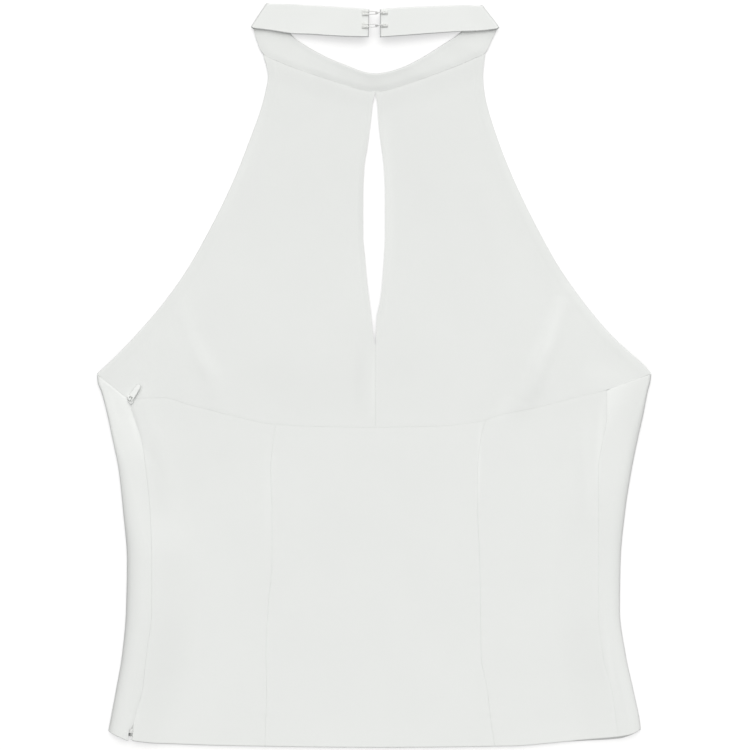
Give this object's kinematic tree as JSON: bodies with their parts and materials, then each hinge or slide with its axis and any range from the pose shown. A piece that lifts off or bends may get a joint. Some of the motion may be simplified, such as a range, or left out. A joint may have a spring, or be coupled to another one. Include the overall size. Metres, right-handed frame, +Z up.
{
  "type": "halter neck top",
  "caption": "Sleeveless halter neck top in off-white crepe, laid flat, with a keyhole front, side zip and hooked neckband.",
  "frame": {"origin": "middle of the box round the top, on the surface that it lies on", "axes": "+X to the right of the front as seen, +Y from the hem to the neck, +Z up off the surface"},
  "size_m": [0.4018, 0.54, 0.0108],
  "materials": {
    "crepe": "matt off-white crepe with a fine twill grain",
    "zip_tape": "flat woven tape",
    "enamel": "smooth white enamel"
  },
  "bodies": {
    "garment": {"back_panel": "crepe", "front_lower_left": "crepe", "front_lower_centre": "crepe", "front_lower_right": "crepe", "front_upper_left": "crepe", "front_upper_right": "crepe", "neckband": "crepe", "zip_tape": "zip_tape", "zip_slider": "enamel", "eye_upper": "enamel", "hook_upper": "enamel", "eye_lower": "enamel", "hook_lower": "enamel"},
    "pull_tab": {"zip_pull": "enamel"}
  },
  "joints": [
    {"name": "zip_pull_hinge", "type": "hinge", "parent": "garment", "child": "pull_tab", "pos_m": [-0.1765, -0.0176, 0.0065], "axis": [0.829, -0.5592, 0], "range_deg": [0, 170]}
  ]
}
